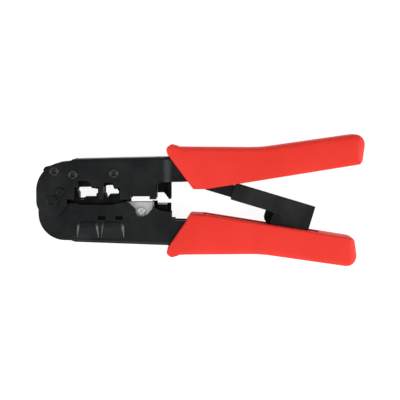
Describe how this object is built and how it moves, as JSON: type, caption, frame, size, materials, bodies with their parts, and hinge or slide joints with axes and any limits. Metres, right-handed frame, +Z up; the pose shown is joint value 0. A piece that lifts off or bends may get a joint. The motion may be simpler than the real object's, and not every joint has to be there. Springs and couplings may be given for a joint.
{
  "type": "modular plug crimping tool",
  "caption": "Hand tool that crimps, cuts and strips modular telephone and network plugs: two sprung steel arms in soft grips, joined by a nose pivot and a ratchet arm.",
  "frame": {"origin": "under the middle of the tool's outline, on the surface that its grips rest on", "axes": "+X from the nose pivot towards the handles' ends, +Y from the lower arm towards the upper arm, +Z up through the tool's thickness, along the pivot pin"},
  "size_m": [0.1992, 0.0806, 0.023],
  "materials": {
    "black_steel": "black oxide, satin",
    "dark_steel": "black oxide, oiled",
    "blade_steel": "ground",
    "red_grip": "soft moulded vinyl, satin"
  },
  "bodies": {
    "upper_arm": {"upper_frame": "black_steel", "upper_grip": "red_grip", "nose_rivet": "dark_steel", "die_rivets": "dark_steel", "pivot_pin": "dark_steel", "spring_anchor_pin": "dark_steel", "nose_spacer": "dark_steel", "die_block": "dark_steel", "cutting_anvil": "blade_steel", "die_spacers": "dark_steel", "strip_hook": "dark_steel", "hook_rivets": "dark_steel", "opening_spring": "dark_steel", "bar_pin": "dark_steel", "bar_spacers": "dark_steel"},
    "lower_arm": {"lower_frame": "black_steel", "lower_grip": "red_grip", "pivot_bush": "dark_steel", "spring_leg_pin": "dark_steel", "die_driver": "dark_steel", "blade_carrier": "dark_steel", "carrier_rivets": "dark_steel", "cutting_blade": "blade_steel", "blade_screw": "dark_steel", "strip_blade": "blade_steel", "housing_pin": "dark_steel", "housing_washers": "dark_steel"},
    "die_8p": {"contact_die_8p": "dark_steel"},
    "die_6p": {"contact_die_6p": "dark_steel"},
    "bar": {"ratchet_bar": "black_steel"},
    "housing": {"ratchet_housing": "black_steel", "pawl_pin": "black_steel", "pawl_spring": "dark_steel"},
    "pawl_lever": {"pawl": "black_steel"}
  },
  "joints": [
    {"name": "handle_pivot", "type": "hinge", "parent": "upper_arm", "child": "lower_arm", "pos_m": [-0.09036, -0.00032, 0.0115], "axis": [0, 0, 1], "range_deg": [0, 7], "stiffness_Nm_per_rad": 1.5, "springref_deg": -11.46, "deforming": ["opening_spring"]},
    {"name": "die_8p_slide", "type": "slide", "parent": "upper_arm", "child": "die_8p", "axis": [0, 1, 0], "range_m": [0, 0.0012]},
    {"name": "die_6p_slide", "type": "slide", "parent": "upper_arm", "child": "die_6p", "axis": [0, 1, 0], "range_m": [0, 0.0012]},
    {"name": "bar_pivot", "type": "hinge", "parent": "upper_arm", "child": "bar", "pos_m": [-0.00436, 0.01568, 0.0115], "axis": [0, 0, 1], "range_deg": [0, 15.41]},
    {"name": "strut_slide", "type": "slide", "parent": "bar", "child": "housing", "axis": [0.9578, -0.2874, 0], "range_m": [-0.00654, 0]},
    {"name": "pawl_pivot", "type": "hinge", "parent": "housing", "child": "pawl_lever", "pos_m": [0.04615, -0.01117, 0.0115], "axis": [0, 0, -1], "range_deg": [0, 8], "stiffness_Nm_per_rad": 0.05, "springref_deg": -5.73, "deforming": ["pawl_spring"]}
  ],
  "couplings": [
    {"joint": "die_8p_slide", "follows": "handle_pivot", "m_per_rad": 0.0098212},
    {"joint": "die_6p_slide", "follows": "handle_pivot", "m_per_rad": 0.0098212},
    {"joint": "bar_pivot", "follows": "handle_pivot", "ratio": 2.1996},
    {"joint": "strut_slide", "follows": "handle_pivot", "m_per_rad": -0.053465}
  ]
}
